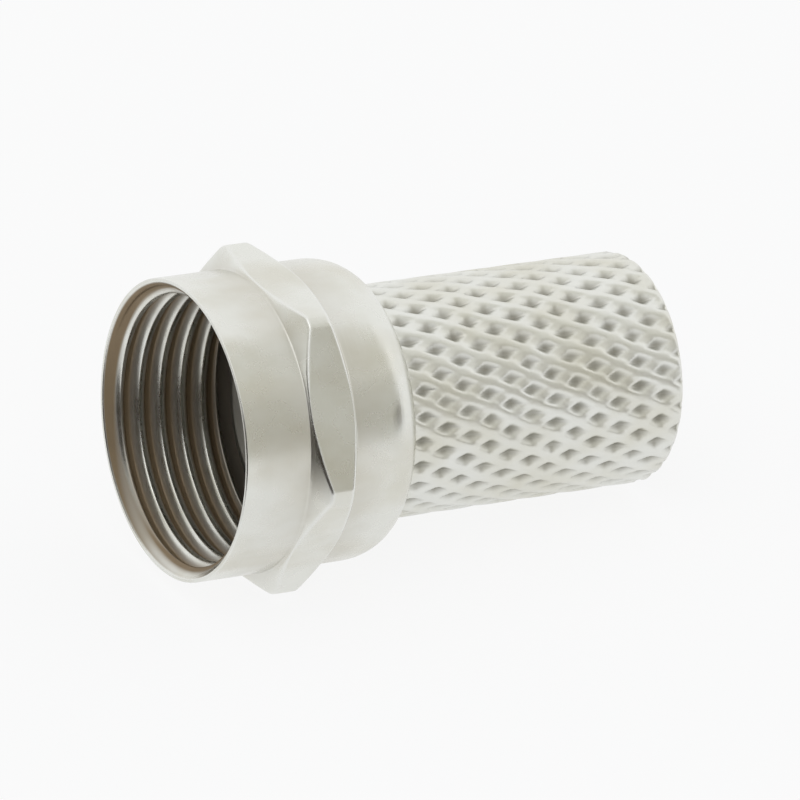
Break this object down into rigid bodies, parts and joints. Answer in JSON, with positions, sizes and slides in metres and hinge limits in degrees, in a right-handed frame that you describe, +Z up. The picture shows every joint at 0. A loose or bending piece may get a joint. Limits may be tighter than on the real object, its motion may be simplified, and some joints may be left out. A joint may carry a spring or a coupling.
{
  "type": "f connector",
  "caption": "Male twist-on F connector for coaxial cable, lying on its side: a swivelling threaded hexagon nut on a knurled cable sleeve.",
  "frame": {"origin": "on the surface the connector lies on, in the middle of its length and width", "axes": "+Z up; the connector's axis runs towards +X from the nut's mouth to the sleeve and dips by 5.23 degrees, because it lies on one flat of the hexagon and on the sleeve's rim"},
  "size_m": [0.0182, 0.0116, 0.0105],
  "materials": {
    "nut_plating": "satin-bright nickel plating over turned brass, with soft edges",
    "body_plating": "satin-bright nickel plating over a crossed diamond knurl"
  },
  "bodies": {
    "body": {"connector_body": "body_plating"},
    "nut": {"coupling_nut": "nut_plating"}
  },
  "joints": [
    {"name": "nut_swivel", "type": "hinge", "parent": "body", "child": "nut", "pos_m": [-0.00291, 0, 0.00499], "axis": [0.9958, 0, -0.0912], "continuous": true}
  ]
}
